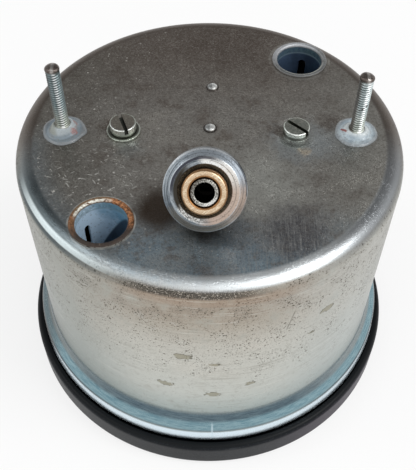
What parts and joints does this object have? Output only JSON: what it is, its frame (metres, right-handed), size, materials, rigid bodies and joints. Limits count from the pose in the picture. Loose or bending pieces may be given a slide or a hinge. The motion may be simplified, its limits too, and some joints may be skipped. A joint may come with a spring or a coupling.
{
  "type": "tachometer",
  "caption": "Panel tachometer with a drum case and black bezel: a cable turns a magnet, whose drag swings the pointer over a round dial.",
  "frame": {"origin": "centre of the front face of the bezel, on the can's axis; the instrument lies on its bezel with the glass down", "axes": "+Z from the dial to the rear plate along the can's axis; +Y towards the top of the dial; the cable drive leans towards -Y"},
  "size_m": [0.1284, 0.1284, 0.115],
  "materials": {
    "case_zinc": "zinc-plated sheet, tarnished on the rear plate",
    "bezel_black": "black satin lacquer",
    "window_glass": "flat clear glass",
    "gasket_rubber": "matte",
    "light_ring_plastic": "clear frosted plastic",
    "dial_black": "matte black",
    "dial_white": "matte white print",
    "fastener_steel": "bright steel",
    "brass": "machined",
    "pointer_white": "matte white",
    "cap_black": "matte",
    "shaft_steel": "ground",
    "cup_aluminium": "spun",
    "spring_steel": "blued",
    "jewel_red": "polished jewel",
    "plate_steel": "zinc-plated",
    "magnet_dark": "sintered magnet",
    "bronze": "sintered bronze, oily",
    "felt": "oil-soaked felt",
    "drive_steel": "turned steel, worn",
    "cast_zinc": "die-cast",
    "cork": "pressed cork",
    "sleeve_blue": "pale blue lacquer",
    "stud_zinc": "bright zinc plate",
    "disc_lacquer": "pale grey lacquer",
    "screw_passivated": "greenish yellow passivated zinc"
  },
  "bodies": {
    "instrument": {"case": "case_zinc", "bezel": "bezel_black", "glass": "window_glass", "glass_gasket": "gasket_rubber", "light_ring": "light_ring_plastic", "dial": "dial_black", "dial_marks": "dial_white", "dial_screws": "fastener_steel", "dial_posts": "brass", "stop_pins": "fastener_steel", "hairspring": "spring_steel", "hairspring_regulator": "brass", "front_plate": "brass", "staff_bush": "jewel_red", "frame_pillars": "shaft_steel", "frame_screws": "fastener_steel", "middle_plate": "plate_steel", "housing_screws": "fastener_steel", "flux_keeper": "plate_steel", "magnet_bush": "bronze", "thrust_washer": "bronze", "inner_bush": "bronze", "oil_felt": "felt", "outer_bush": "bronze", "drive_boss": "drive_steel", "gear_housing": "cast_zinc", "housing_gasket": "cork", "lamp_sleeve_left": "sleeve_blue", "lamp_sleeve_right": "sleeve_blue", "mounting_studs": "stud_zinc", "stud_discs": "disc_lacquer", "case_screws": "screw_passivated", "screw_washer": "screw_passivated"},
    "magnet_shaft": {"magnet": "magnet_dark", "magnet_carrier": "brass", "magnet_spindle": "shaft_steel", "driven_bevel_gear": "brass"},
    "input_shaft": {"input_spindle": "drive_steel", "input_bevel_gear": "brass"},
    "pointer_shaft": {"pointer": "pointer_white", "pointer_cap": "cap_black", "pointer_staff": "shaft_steel", "drag_cup": "cup_aluminium", "hairspring_collet": "brass"}
  },
  "joints": [
    {"name": "magnet_spin", "type": "hinge", "parent": "instrument", "child": "magnet_shaft", "pos_m": [0, 0, 0.0748], "axis": [0, 0, 1], "continuous": true},
    {"name": "input_spin", "type": "hinge", "parent": "instrument", "child": "input_shaft", "pos_m": [0, 0, 0.0748], "axis": [-0.0267, -0.7656, 0.6428], "continuous": true},
    {"name": "pointer_swing", "type": "hinge", "parent": "instrument", "child": "pointer_shaft", "pos_m": [0, 0, 0.014], "axis": [0, 0, 1], "range_deg": [0, 260], "stiffness_Nm_per_rad": 0.0002, "springref_deg": -17.19, "deforming": ["hairspring"]}
  ],
  "couplings": [
    {"joint": "input_spin", "follows": "magnet_spin", "ratio": 1}
  ]
}
